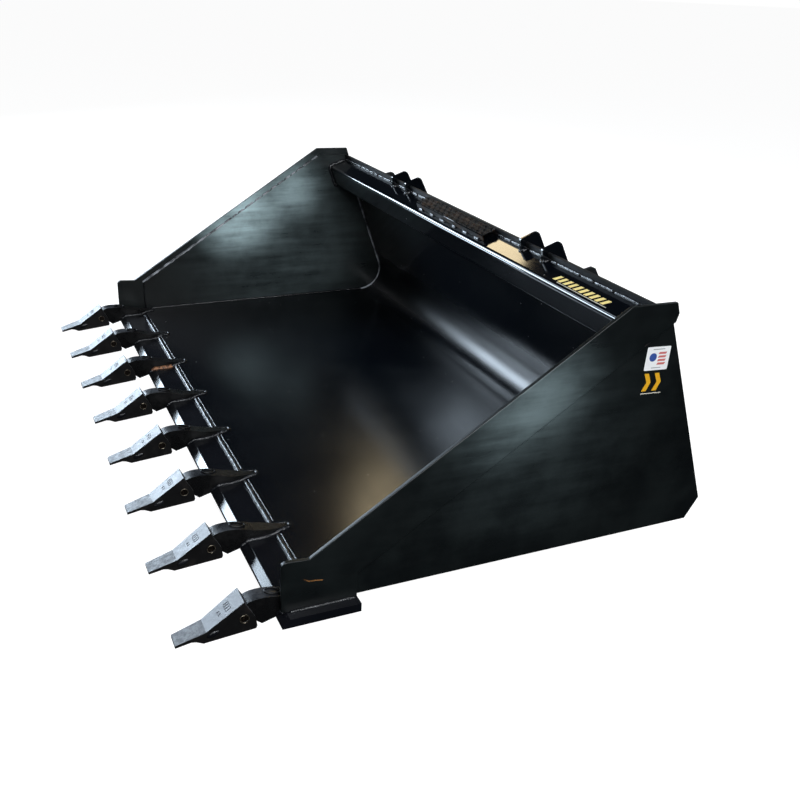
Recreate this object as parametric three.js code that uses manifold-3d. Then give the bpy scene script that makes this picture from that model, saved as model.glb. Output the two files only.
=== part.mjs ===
// Skid steer dirt bucket: welded steel plates, eight pinned cast teeth, a boxed top rail and a
// universal quick-attach back.
// Units are millimetres. X runs across the bucket, -Y is the digging side, +Y the machine side, +Z is up.
// The outlines below take Y from the front of the side plates and Z from the underside of the floor; at the
// end the bucket is moved so that its origin is the bottom middle of its bounding box.
import * as THREE from 'three';
import { mergeVertices } from 'three/addons/utils/BufferGeometryUtils.js';
import Module from 'manifold-3d';

const wasm = await Module();
wasm.setup();

// ---- driving dimensions ---------------------------------------------------------------------------------

const GAP = 0.3; // clearance kept between welded neighbours

const EDGE_LENGTH = 1850; // cutting edge, a little wider than the sides
const EDGE_FRONT = -5;
const EDGE_REAR = 153;
const EDGE_THICKNESS = 19; // three quarters of an inch
const EDGE_BEVEL = 16;
const EDGE_NOSE = 8; // blunt height left at the front of the bevel

const SHEET = 6.4; // shell, side plates and rail
const SHELL_FRONT = 79; // where the floor sheet starts, lapping the cutting edge
const PLATE_FRONT = 88; // where the side plates start
const SIDE_INNER = 886.5; // from the middle to the inner face of a side plate
const HEEL_RADIUS = 81.4; // outside of the rolled heel
const HEEL_CENTRE_Y = 887;
const LEAN = THREE.MathUtils.degToRad(20); // the back leans towards the digging side

const RAIL_CORNER = [755, 467]; // front top corner of the rail, before rounding (Y, Z)
const RAIL_HEIGHT = 74;
const RAIL_BEND = 12;
const BACK_OUTER = 73.5; // rail corner to the outer face of the back, along the rail top
const BACK_RISE = 17; // how far the back stands above the rail top
const BACK_INNER = BACK_OUTER - SHEET;

const CUTTER_THICKNESS = 9.2; // doubler strip on the outside of each side plate
const CUTTER_WIDTH = 97.5;
const CUTTER_FOOT = 152;
const MOUTH_START = [56, 107]; // kink where the sloping mouth begins (Y, Z)
const MOUTH_END = [712.5, 529.5];
const PLATE_INSET = 22; // the side plate's edge lies this far inside the strip's edge

const TOOTH_COUNT = 8;
const TOOTH_SPACING = 248;
const TOOTH_HALF_TIP = 18;
const TOOTH_HALF_REAR = 25;
const TOOTH_TIP_Y = -195.5;
const TOOTH_LIP_Y = -67.3;
const NOSE_HALF = 17; // half width of the adapter and its nose
const POCKET_CLEARANCE = 0.6;
const PIN_PLACE = [-67.5, 0];
const PIN_RADIUS = 9;
const PIN_CLEARANCE = 0.4;
const PIN_HALF_LENGTH = 23;
const PIN_SIDES = 20;

const EAR_PLACES = [-440, -340, 340, 440];
const EAR_THICKNESS = 10;
const EAR_TOP = 31;

const STEP_LENGTH = 400;
const STEP_FRONT = 22;
const STEP_REAR = 64;
const STEP_HEIGHT = 16;
const STEP_SHEET = 3;

const ATTACH_HALF = 563; // half width between the quick-attach end plates
const ATTACH_PLATE = 9.5;
const ATTACH_OPENING_HALF = 200; // the middle of the back is left clear between the face plates
const ATTACH_BOTTOM = -424; // underside of the lower lips, below the rail top
const FACE_RELIEF = 3; // the face plates stop this far short of the hook's slope
const HOOK_THICKNESS = 8;
const HOOK_REACH = 47;
const HOOK_ROOT = 7; // height of the hook's upper surface where it meets the back
const LIP_DEPTH = 72;
const LIP_THICKNESS = 12;
const LIP_CORNER = 10; // cut-off corners of the lip
const SLOT_PLACE = 425;
const SLOT_LENGTH = 76;
const SLOT_WIDTH = 34;
const SLOT_SETBACK = 43; // from the front of the lip to the middle of its slot

const SKID_PLACES = [-620, -220, 220, 620];
const SKID_WIDTH = 76;
const SKID_THICKNESS = 19;
const SKID_START = 300;
const SKID_END = 880;
const SKID_CHAMFER = 14;

const ARC_STEPS = 24; // steps round the rolled heel
const BEND_STEPS = 8; // steps round a small bend or curve

// ---- finishes -------------------------------------------------------------------------------------------

const GLOSS_BLACK = { color: 0x0b0e11, roughness: 0.22, metalness: 0.0 };
const CAST_BLACK = { color: 0x17181a, roughness: 0.5, metalness: 0.2 };
const TOOTH_STEEL = { color: 0x8f959c, roughness: 0.42, metalness: 0.75 };
const PIN_STEEL = { color: 0x4a3a2c, roughness: 0.5, metalness: 0.7 };
const EDGE_BLACK = { color: 0x15191d, roughness: 0.3, metalness: 0.3 };
const STEP_BLACK = { color: 0x1d1915, roughness: 0.55, metalness: 0.3 };

// ---- helpers --------------------------------------------------------------------------------------------

function polygon(points) {
  return new THREE.Shape(points.map(([x, y]) => new THREE.Vector2(x, y)));
}

// A shape drawn in the (Y, Z) profile and extruded across the bucket, centred on the middle of its own width.
function plate(shape, thickness, steps = BEND_STEPS) {
  const geometry = new THREE.ExtrudeGeometry(shape, {
    depth: thickness,
    bevelEnabled: false,
    curveSegments: steps,
  });
  return geometry.translate(0, 0, -thickness / 2);
}

// A shape drawn seen from above (Y, X) and extruded upwards from low to high.
function planPrism(shape, low, high) {
  const geometry = new THREE.ExtrudeGeometry(shape, { depth: high - low, bevelEnabled: false });
  return geometry.rotateX(-Math.PI / 2).translate(0, low, 0);
}

function toSolid(geometry) {
  const bare = geometry.index ? geometry.toNonIndexed() : geometry.clone();
  bare.deleteAttribute('normal');
  bare.deleteAttribute('uv');
  const merged = mergeVertices(bare, 1e-4);
  return new wasm.Manifold(new wasm.Mesh({
    numProp: 3,
    vertProperties: merged.attributes.position.array,
    triVerts: new Uint32Array(merged.index.array),
  }));
}

function toGeometry(solid) {
  const mesh = solid.getMesh();
  const geometry = new THREE.BufferGeometry();
  geometry.setAttribute('position', new THREE.BufferAttribute(mesh.vertProperties.slice(), 3));
  geometry.setIndex(new THREE.BufferAttribute(mesh.triVerts.slice(), 1));
  return geometry;
}

function piece(name, geometry, finish) {
  const mesh = new THREE.Mesh(geometry, new THREE.MeshStandardMaterial(finish));
  mesh.name = name;
  return mesh;
}

// A rail-frame place (along the rail top towards the machine, up along the back) as profile (Y, Z).
function onRail(along, up) {
  return [
    RAIL_CORNER[0] + along * Math.cos(LEAN) - up * Math.sin(LEAN),
    RAIL_CORNER[1] + along * Math.sin(LEAN) + up * Math.cos(LEAN),
  ];
}

// Centre of the rolled heel in the rail frame.
function heelInRail() {
  const across = HEEL_CENTRE_Y - RAIL_CORNER[0];
  const up = HEEL_RADIUS - RAIL_CORNER[1];
  return [
    across * Math.cos(LEAN) + up * Math.sin(LEAN),
    up * Math.cos(LEAN) - across * Math.sin(LEAN),
  ];
}

// The mouth line moved into the side plate by a distance measured square to it, at a given Y.
function mouthHeight(y, inset) {
  const run = MOUTH_END[0] - MOUTH_START[0];
  const rise = MOUTH_END[1] - MOUTH_START[1];
  const slope = rise / run;
  return MOUTH_START[1] + (y - MOUTH_START[0]) * slope - inset * Math.hypot(1, slope);
}

function mouthReach(z, inset) {
  const slope = (MOUTH_END[1] - MOUTH_START[1]) / (MOUTH_END[0] - MOUTH_START[0]);
  return MOUTH_START[0] + (z - MOUTH_START[1] + inset * Math.hypot(1, slope)) / slope;
}

// ---- groups that set the frames -------------------------------------------------------------------------

const bucket = new THREE.Group();
const profile = new THREE.Group(); // its own x, y, z are the bucket's Y, Z, X
profile.rotation.set(Math.PI / 2, Math.PI / 2, 0);
bucket.add(profile);

const railFrame = new THREE.Group(); // x along the rail top towards the machine, y up along the back
railFrame.position.set(RAIL_CORNER[0], RAIL_CORNER[1], 0);
railFrame.rotation.z = LEAN;
profile.add(railFrame);

function place(parent, mesh, across) {
  mesh.position.z = across;
  parent.add(mesh);
}

// ---- shell ----------------------------------------------------------------------------------------------

// One sheet: flat floor, rolled heel and straight back.
function shellShape() {
  const topOuter = onRail(BACK_OUTER, BACK_RISE);
  const topInner = onRail(BACK_INNER, BACK_RISE);
  const shape = new THREE.Shape();
  shape.moveTo(SHELL_FRONT, 0);
  shape.lineTo(HEEL_CENTRE_Y, 0);
  shape.absarc(HEEL_CENTRE_Y, HEEL_RADIUS, HEEL_RADIUS, -Math.PI / 2, LEAN, false);
  shape.lineTo(topOuter[0], topOuter[1]);
  shape.lineTo(topInner[0], topInner[1]);
  shape.absarc(HEEL_CENTRE_Y, HEEL_RADIUS, HEEL_RADIUS - SHEET, LEAN, -Math.PI / 2, true);
  shape.lineTo(SHELL_FRONT, SHEET);
  return shape;
}

function addShell() {
  const width = 2 * (SIDE_INNER - GAP);
  place(profile, piece('bucket_shell', plate(shellShape(), width, ARC_STEPS), GLOSS_BLACK), 0);
}

// ---- sides ----------------------------------------------------------------------------------------------

const SIDE_REAR = [[826, 488], [985, 49], [954.5, 0]]; // sloping rear edge and cut-off heel corner (Y, Z)
const CUTTER_TOP_REAR = [[823, 528], [831, 505]]; // rear end of the strip, proud of the plate
const CUTTER_NOSE_HEIGHT = 110;
const CUTTER_NOSE_RADIUS = 12;
const PLATE_TOP = MOUTH_END[1] - PLATE_INSET;

function sidePlateShape() {
  return polygon([
    [PLATE_FRONT, 0],
    [PLATE_FRONT, mouthHeight(PLATE_FRONT, PLATE_INSET)],
    [mouthReach(PLATE_TOP, PLATE_INSET), PLATE_TOP],
    [SIDE_REAR[0][0] - 7, PLATE_TOP],
    ...SIDE_REAR,
  ]);
}

function sideCutterShape() {
  const shape = new THREE.Shape();
  shape.moveTo(0, 0);
  shape.lineTo(CUTTER_FOOT, 0);
  shape.lineTo(CUTTER_FOOT, mouthHeight(CUTTER_FOOT, CUTTER_WIDTH));
  shape.lineTo(SIDE_REAR[0][0], mouthHeight(SIDE_REAR[0][0], CUTTER_WIDTH));
  shape.lineTo(CUTTER_TOP_REAR[1][0], CUTTER_TOP_REAR[1][1]);
  shape.lineTo(CUTTER_TOP_REAR[0][0], CUTTER_TOP_REAR[0][1]);
  shape.lineTo(MOUTH_END[0], MOUTH_END[1]);
  shape.lineTo(MOUTH_START[0], MOUTH_START[1]);
  shape.lineTo(CUTTER_NOSE_RADIUS, CUTTER_NOSE_HEIGHT);
  shape.absarc(
    CUTTER_NOSE_RADIUS,
    CUTTER_NOSE_HEIGHT - CUTTER_NOSE_RADIUS,
    CUTTER_NOSE_RADIUS,
    Math.PI / 2,
    Math.PI,
    false,
  );
  return shape;
}

function addSides() {
  const plateMiddle = SIDE_INNER + SHEET / 2;
  const cutterMiddle = SIDE_INNER + SHEET + GAP + CUTTER_THICKNESS / 2;
  for (const [side, name] of [[-1, 'left'], [1, 'right']]) {
    const panel = piece(`side_plate_${name}`, plate(sidePlateShape(), SHEET), GLOSS_BLACK);
    const cutter = piece(`side_cutter_${name}`, plate(sideCutterShape(), CUTTER_THICKNESS), GLOSS_BLACK);
    place(profile, panel, side * plateMiddle);
    place(profile, cutter, side * cutterMiddle);
  }
}

// ---- cutting edge and skid bars -------------------------------------------------------------------------

function addCuttingEdge() {
  const low = -GAP - EDGE_THICKNESS;
  const shape = polygon([
    [EDGE_FRONT, low],
    [EDGE_REAR, low],
    [EDGE_REAR, -GAP],
    [EDGE_FRONT + EDGE_BEVEL, -GAP],
    [EDGE_FRONT, low + EDGE_NOSE],
  ]);
  place(profile, piece('cutting_edge', plate(shape, EDGE_LENGTH), EDGE_BLACK), 0);
}

function addSkidBars() {
  const low = -GAP - SKID_THICKNESS;
  const shape = polygon([
    [SKID_START + SKID_CHAMFER, low],
    [SKID_END - SKID_CHAMFER, low],
    [SKID_END, -GAP],
    [SKID_START, -GAP],
  ]);
  SKID_PLACES.forEach((across, index) => {
    place(profile, piece(`skid_bar_${index + 1}`, plate(shape, SKID_WIDTH), CAST_BLACK), across);
  });
}

// ---- teeth ----------------------------------------------------------------------------------------------

const NOSE_TIP_Y = -120;
const ADAPTER_END = 104;

// The wedge that a tooth slides over, grown by a clearance for the tooth's pocket.
function nosePoints(grow) {
  return [
    [NOSE_TIP_Y - grow, -24 - grow],
    [NOSE_TIP_Y - grow, -10.5 + grow],
    [-62, 25.8 + grow],
  ];
}

function adapterShape() {
  const [tipLow, tipHigh, shoulder] = nosePoints(0);
  const shape = new THREE.Shape();
  shape.moveTo(tipLow[0], tipLow[1]);
  shape.lineTo(-43, -16);
  shape.lineTo(-32, -25);
  shape.lineTo(EDGE_FRONT - GAP, -17);
  shape.lineTo(EDGE_FRONT - GAP, EDGE_NOSE - EDGE_THICKNESS);
  shape.lineTo(EDGE_FRONT + EDGE_BEVEL - GAP, 0);
  shape.lineTo(SHELL_FRONT - GAP, 0);
  shape.lineTo(SHELL_FRONT - GAP, SHEET + GAP);
  shape.lineTo(ADAPTER_END, SHEET + GAP);
  shape.lineTo(ADAPTER_END - 2, SHEET + 2.5);
  shape.bezierCurveTo(80, 9.5, 45, 15, 22, 21.5);
  shape.bezierCurveTo(-8, 33, -45, 36, shoulder[0], shoulder[1]);
  shape.lineTo(tipHigh[0], tipHigh[1]);
  return shape;
}

// Seen from above, the adapter runs straight back and its tail narrows to a blunt point.
function adapterPlan() {
  const tailStart = 48;
  const tailEnd = ADAPTER_END + 1;
  const tailHalf = 5;
  return polygon([
    [NOSE_TIP_Y - 1, -NOSE_HALF],
    [tailStart, -NOSE_HALF],
    [tailEnd, -tailHalf],
    [tailEnd, tailHalf],
    [tailStart, NOSE_HALF],
    [NOSE_TIP_Y - 1, NOSE_HALF],
  ]);
}

function pinHole() {
  const radius = PIN_RADIUS + PIN_CLEARANCE;
  const hole = new THREE.CylinderGeometry(radius, radius, 4 * TOOTH_HALF_REAR, PIN_SIDES);
  return toSolid(hole.rotateX(Math.PI / 2).translate(PIN_PLACE[0], PIN_PLACE[1], 0));
}

function adapterGeometry() {
  const tall = toSolid(plate(adapterShape(), 2 * TOOTH_HALF_REAR));
  const outline = toSolid(planPrism(adapterPlan(), -60, 60));
  return toGeometry(tall.intersect(outline).subtract(pinHole()));
}

function toothShape() {
  return polygon([
    [TOOTH_TIP_Y, -36],
    [-166, -29.5],
    [-157, -31],
    [-144, -37.2],
    [-46, -25.5],
    [-43.5, -20],
    [-46.5, -1],
    [-53, 12],
    [-61, 25],
    [TOOTH_LIP_Y, 37.3],
    [-138.5, -13.5],
    [TOOTH_TIP_Y, -30.5],
  ]);
}

// Seen from above, the tooth widens steadily from its tip to its rear lip.
function toothPlan() {
  const growth = (TOOTH_HALF_REAR - TOOTH_HALF_TIP) / (TOOTH_LIP_Y - TOOTH_TIP_Y);
  const rear = -40;
  const front = TOOTH_TIP_Y - 1;
  const rearHalf = TOOTH_HALF_REAR + growth * (rear - TOOTH_LIP_Y);
  const frontHalf = TOOTH_HALF_TIP - growth;
  return polygon([
    [front, -frontHalf],
    [rear, -rearHalf],
    [rear, rearHalf],
    [front, frontHalf],
  ]);
}

function pocket() {
  const grow = POCKET_CLEARANCE;
  const [tipLow, tipHigh, shoulder] = nosePoints(grow);
  const shape = polygon([
    tipLow,
    [-30, -14.6 - grow],
    [-30, 36],
    [-52, 33],
    shoulder,
    tipHigh,
  ]);
  return toSolid(plate(shape, 2 * (NOSE_HALF + grow)));
}

function toothGeometry() {
  const wedge = toSolid(plate(toothShape(), 3 * TOOTH_HALF_REAR));
  const outline = toSolid(planPrism(toothPlan(), -60, 60));
  return toGeometry(wedge.intersect(outline).subtract(pocket()).subtract(pinHole()));
}

// Retaining pin, turned from bar with a chamfer at each end.
function pinGeometry() {
  const chamfer = 1.2;
  const half = [
    [0, -PIN_HALF_LENGTH],
    [PIN_RADIUS - chamfer, -PIN_HALF_LENGTH],
    [PIN_RADIUS, chamfer - PIN_HALF_LENGTH],
    [PIN_RADIUS, PIN_HALF_LENGTH - chamfer],
    [PIN_RADIUS - chamfer, PIN_HALF_LENGTH],
    [0, PIN_HALF_LENGTH],
  ];
  const turned = new THREE.LatheGeometry(half.map(([r, h]) => new THREE.Vector2(r, h)), PIN_SIDES);
  return turned.rotateX(Math.PI / 2).translate(PIN_PLACE[0], PIN_PLACE[1], 0);
}

function addTeeth() {
  const adapter = adapterGeometry();
  const tooth = toothGeometry();
  const pin = pinGeometry();
  for (let index = 0; index < TOOTH_COUNT; index += 1) {
    const across = (index - (TOOTH_COUNT - 1) / 2) * TOOTH_SPACING;
    place(profile, piece(`tooth_adapter_${index + 1}`, adapter, CAST_BLACK), across);
    place(profile, piece(`tooth_${index + 1}`, tooth, TOOTH_STEEL), across);
    place(profile, piece(`tooth_pin_${index + 1}`, pin, PIN_STEEL), across);
  }
}

// ---- top rail, step and lifting ears --------------------------------------------------------------------

// Folded channel that closes against the back sheet.
function railShape() {
  const end = BACK_INNER - GAP;
  const inside = RAIL_BEND - SHEET;
  const shape = new THREE.Shape();
  shape.moveTo(end, 0);
  shape.lineTo(RAIL_BEND, 0);
  shape.absarc(RAIL_BEND, -RAIL_BEND, RAIL_BEND, Math.PI / 2, Math.PI, false);
  shape.lineTo(0, RAIL_BEND - RAIL_HEIGHT);
  shape.absarc(RAIL_BEND, RAIL_BEND - RAIL_HEIGHT, RAIL_BEND, Math.PI, 1.5 * Math.PI, false);
  shape.lineTo(end, -RAIL_HEIGHT);
  shape.lineTo(end, SHEET - RAIL_HEIGHT);
  shape.absarc(RAIL_BEND, RAIL_BEND - RAIL_HEIGHT, inside, 1.5 * Math.PI, Math.PI, true);
  shape.lineTo(SHEET, -RAIL_BEND);
  shape.absarc(RAIL_BEND, -RAIL_BEND, inside, Math.PI, Math.PI / 2, true);
  shape.lineTo(end, -SHEET);
  return shape;
}

function addRail() {
  const width = 2 * (SIDE_INNER - GAP);
  place(railFrame, piece('top_rail', plate(railShape(), width), GLOSS_BLACK), 0);
}

// Perforated anti-slip sheet with turned-down legs, standing on the rail.
function stepGeometry() {
  const holeRadius = 4.5;
  const holePitch = 40;
  const rowPlaces = [33, 43, 53];
  const quarterSteps = 4;
  const sheet = new THREE.Shape();
  sheet.moveTo(STEP_FRONT, -STEP_LENGTH / 2);
  sheet.lineTo(STEP_REAR, -STEP_LENGTH / 2);
  sheet.lineTo(STEP_REAR, STEP_LENGTH / 2);
  sheet.lineTo(STEP_FRONT, STEP_LENGTH / 2);
  rowPlaces.forEach((along, row) => {
    const shift = (row % 2) * (holePitch / 2);
    for (let across = holePitch / 2 + shift; across < STEP_LENGTH - holePitch / 4; across += holePitch) {
      const hole = new THREE.Path();
      hole.absarc(along, across - STEP_LENGTH / 2, holeRadius, 0, 2 * Math.PI, true);
      sheet.holes.push(hole);
    }
  });
  const top = new THREE.ExtrudeGeometry(sheet, {
    depth: STEP_SHEET,
    bevelEnabled: false,
    curveSegments: quarterSteps,
  });
  const legs = [STEP_FRONT, STEP_REAR - STEP_SHEET].map((along) => plate(polygon([
    [along, GAP],
    [along + STEP_SHEET, GAP],
    [along + STEP_SHEET, STEP_HEIGHT],
    [along, STEP_HEIGHT],
  ]), STEP_LENGTH));
  const tread = toSolid(top.rotateX(-Math.PI / 2).translate(0, STEP_HEIGHT - STEP_SHEET, 0));
  return toGeometry(tread.add(toSolid(legs[0])).add(toSolid(legs[1])));
}

// Ear plate: stands on the rail, straddles the top of the back and comes down on the hook flange.
function earShape() {
  const notch = 0.6;
  const seat = HOOK_ROOT + BACK_OUTER + GAP + notch; // seat line: up = seat - along
  const rearFoot = 118;
  const shape = new THREE.Shape();
  shape.moveTo(49, GAP);
  shape.lineTo(BACK_INNER - notch, GAP);
  shape.lineTo(BACK_INNER - notch, BACK_RISE + notch);
  shape.lineTo(BACK_OUTER + notch, BACK_RISE + notch);
  shape.lineTo(BACK_OUTER + notch, seat - BACK_OUTER - notch);
  shape.lineTo(rearFoot, seat - rearFoot);
  shape.lineTo(111, 19);
  shape.quadraticCurveTo(109, EAR_TOP, 98, EAR_TOP);
  shape.lineTo(58, EAR_TOP);
  shape.lineTo(55, EAR_TOP - 3);
  return shape;
}

function addEars() {
  EAR_PLACES.forEach((across, index) => {
    const ear = piece(`rail_ear_${index + 1}`, plate(earShape(), EAR_THICKNESS), GLOSS_BLACK);
    place(railFrame, ear, across);
  });
}

// ---- quick-attach back ----------------------------------------------------------------------------------

function hookShape() {
  const root = BACK_OUTER + GAP;
  const skew = HOOK_THICKNESS * Math.SQRT2;
  const tip = root + HOOK_REACH;
  return polygon([
    [root, HOOK_ROOT - skew],
    [tip - skew / 2, HOOK_ROOT - HOOK_REACH - skew / 2],
    [tip, HOOK_ROOT - HOOK_REACH],
    [root, HOOK_ROOT],
  ]);
}

function facePlateShape() {
  const front = BACK_OUTER + GAP;
  const rear = front + ATTACH_PLATE;
  const top = HOOK_ROOT - HOOK_THICKNESS * Math.SQRT2 - ATTACH_PLATE - FACE_RELIEF;
  const bottom = ATTACH_BOTTOM + LIP_THICKNESS + GAP;
  return polygon([
    [front, bottom],
    [rear, bottom],
    [rear, top],
    [front, top],
  ]);
}

function endPlateShape() {
  const front = BACK_OUTER + GAP;
  return polygon([
    [front, -120],
    [122, -62],
    [117, -34],
    [111, -4],
    [104, 2],
    [front, 6],
  ]);
}

// Lower lip, seen square to its own face, with one slot for the machine's locking pin.
function lipGeometry(length, slotMiddle) {
  const sheet = polygon([
    [0, -length / 2],
    [LIP_DEPTH - LIP_CORNER, -length / 2],
    [LIP_DEPTH, LIP_CORNER - length / 2],
    [LIP_DEPTH, length / 2 - LIP_CORNER],
    [LIP_DEPTH - LIP_CORNER, length / 2],
    [0, length / 2],
  ]);
  const radius = SLOT_WIDTH / 2;
  const straight = SLOT_LENGTH / 2 - radius;
  const slot = new THREE.Path();
  slot.absarc(SLOT_SETBACK, slotMiddle + straight, radius, 0, Math.PI, false);
  slot.absarc(SLOT_SETBACK, slotMiddle - straight, radius, Math.PI, 2 * Math.PI, false);
  sheet.holes.push(slot);
  const geometry = new THREE.ExtrudeGeometry(sheet, {
    depth: LIP_THICKNESS,
    bevelEnabled: false,
    curveSegments: BEND_STEPS,
  });
  return geometry.rotateX(-Math.PI / 2);
}

const GUSSET_THICKNESS = 10;
const GUSSET_DROP = 34; // how far a gusset reaches down the rolled heel below the lip
const GUSSET_PLACES = [250, 520];

// Brace under the lip, with its front edge rolled to the heel.
function gussetShape() {
  const top = ATTACH_BOTTOM - GAP;
  const [heelAlong, heelUp] = heelInRail();
  const radius = HEEL_RADIUS + GAP;
  const shape = new THREE.Shape();
  const high = Math.asin((top - heelUp) / radius);
  const low = Math.asin((top - GUSSET_DROP - heelUp) / radius);
  shape.absarc(heelAlong, heelUp, radius, high, low, true);
  shape.lineTo(BACK_OUTER + LIP_DEPTH - LIP_CORNER, top);
  return shape;
}

function addQuickAttach() {
  const plateWidth = ATTACH_HALF - ATTACH_OPENING_HALF - GAP;
  const plateMiddle = ATTACH_OPENING_HALF + plateWidth / 2;
  place(railFrame, piece('attach_hook', plate(hookShape(), 2 * ATTACH_HALF), GLOSS_BLACK), 0);
  for (const [side, name] of [[-1, 'left'], [1, 'right']]) {
    const face = piece(`attach_face_${name}`, plate(facePlateShape(), plateWidth), GLOSS_BLACK);
    const end = piece(`attach_end_${name}`, plate(endPlateShape(), EAR_THICKNESS), GLOSS_BLACK);
    const slotMiddle = side * (plateMiddle - SLOT_PLACE);
    const lip = piece(`attach_lip_${name}`, lipGeometry(plateWidth, slotMiddle), GLOSS_BLACK);
    place(railFrame, face, side * plateMiddle);
    place(railFrame, end, side * (ATTACH_HALF + GAP + EAR_THICKNESS / 2));
    place(railFrame, lip, side * plateMiddle);
    lip.position.x = BACK_OUTER + GAP;
    lip.position.y = ATTACH_BOTTOM;
    GUSSET_PLACES.forEach((across, index) => {
      const geometry = plate(gussetShape(), GUSSET_THICKNESS);
      const gusset = piece(`lip_gusset_${name}_${index + 1}`, geometry, GLOSS_BLACK);
      place(railFrame, gusset, side * across);
    });
  }
}

// ---- assembly -------------------------------------------------------------------------------------------

addShell();
addSides();
addCuttingEdge();
addSkidBars();
addTeeth();
addRail();
place(railFrame, piece('step_plate', stepGeometry(), STEP_BLACK), 0);
addEars();
addQuickAttach();

// Move the origin to the bottom middle of the bounding box.
bucket.updateMatrixWorld(true);
const extent = new THREE.Box3().setFromObject(bucket, true);
bucket.position.y = -(extent.min.y + extent.max.y) / 2;
bucket.position.z = -extent.min.z;

export default bucket;
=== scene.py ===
"""Looks of the skid steer bucket: paint, cast steel, weld beads, label, floor, lights and camera.

Everything is in metres in the row's own frame: X across the bucket, -Y the digging side, +Z up. The at()
and on_rail() helpers take the part's own millimetres, as its design does.
"""
import random
from math import atan, cos, hypot, pi, radians, sin

import bpy
from mathutils import Matrix, Vector, noise


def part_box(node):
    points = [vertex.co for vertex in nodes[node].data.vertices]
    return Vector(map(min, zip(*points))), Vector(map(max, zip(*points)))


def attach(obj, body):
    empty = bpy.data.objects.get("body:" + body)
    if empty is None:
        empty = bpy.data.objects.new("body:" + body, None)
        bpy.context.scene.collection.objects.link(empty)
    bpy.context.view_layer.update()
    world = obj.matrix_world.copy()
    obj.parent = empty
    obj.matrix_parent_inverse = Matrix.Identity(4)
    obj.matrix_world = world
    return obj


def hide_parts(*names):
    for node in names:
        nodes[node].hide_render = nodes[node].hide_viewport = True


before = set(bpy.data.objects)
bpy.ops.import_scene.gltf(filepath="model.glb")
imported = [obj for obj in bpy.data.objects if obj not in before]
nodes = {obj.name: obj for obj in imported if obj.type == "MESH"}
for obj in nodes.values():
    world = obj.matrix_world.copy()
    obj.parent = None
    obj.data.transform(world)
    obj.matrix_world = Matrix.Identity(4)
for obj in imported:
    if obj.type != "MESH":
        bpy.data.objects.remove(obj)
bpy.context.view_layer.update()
scene = bpy.context.scene

# ---- driving dimensions ----

MM = 0.001
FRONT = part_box("side_cutter_right")[0].y  # front of the sides, in metres
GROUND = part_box("bucket_shell")[0].z  # underside of the floor sheet, in metres

# The rest is in millimetres: across from the middle, along from FRONT, up from GROUND.
SIDE_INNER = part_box("side_plate_right")[0].x / MM
SIDE_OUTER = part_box("side_plate_right")[1].x / MM
STRIP_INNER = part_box("side_cutter_right")[0].x / MM
STRIP_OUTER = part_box("side_cutter_right")[1].x / MM
SHEET = 6.4  # thickness of the shell
SHELL_FRONT = 79
PLATE_FRONT = 88
PLATE_INSET = 22  # from the mouth line to the mouth edge of the side plates
HEEL = (887, 81.4)  # centre of the rolled heel
HEEL_INNER = 75  # its radius inside
HEEL_BACK = 72  # how far the heel reaches back, on the rail's axes, at the height of the lips
LEAN = radians(20)  # of the back and of the rail
RAIL_CORNER = (755, 467)  # front upper corner of the rail, where its own axes start
RAIL_HEIGHT = 74
RAIL_DEPTH = 66.8
BACK_OUTER = 73.8  # rear face of the back, on the rail's axes
EAR_PLACES = (-440, -340, 340, 440)
EAR_HALF = 5
STEP_HALF = 200
STEP_FRONT = 22
STEP_REAR = 64
ATTACH_OPENING = 200  # inner edge of the quick-attach face plates
ATTACH_HALF = 563  # their outer edge
LIP_UNDER = -424
SKID_PLACES = (-620, -220, 220, 620)
EDGE_REAR = 153
TOOTH_PITCH = 248
TOOTH_COUNT = 8
TOOTH_PLACES = [(index - (TOOTH_COUNT - 1) / 2) * TOOTH_PITCH for index in range(TOOTH_COUNT)]
PIN_PLACE = (-67.5, 0)
MOUTH_START = (56, 107)
MOUTH_SLOPE = 0.6436


def at(across, along, up):
    """A point given in the part's own millimetres."""
    return Vector((across * MM, FRONT + along * MM, GROUND + up * MM))


def sideways(amount):
    return Vector((amount, 0, 0))


def on_rail(across, along, up):
    """A point on the leaning axes of the rail: along its top sheet, and square to it."""
    reach = RAIL_CORNER[0] + along * cos(LEAN) - up * sin(LEAN)
    height = RAIL_CORNER[1] + along * sin(LEAN) + up * cos(LEAN)
    return at(across, reach, height)


RAIL_ALONG = Vector((0, cos(LEAN), sin(LEAN)))
RAIL_UP = Vector((0, -sin(LEAN), cos(LEAN)))
OUTWARD = sideways(1)  # away from the middle, on the right
MOUTH_UP = Vector((0, -MOUTH_SLOPE, 1)).normalized()


def mouth(along, inset):
    """Height of the sloping mouth line at a place along the side, moved in square to itself."""
    rise = MOUTH_START[1] + (along - MOUTH_START[0]) * MOUTH_SLOPE
    return rise - inset * hypot(1, MOUTH_SLOPE)


# ---- materials ----


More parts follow.
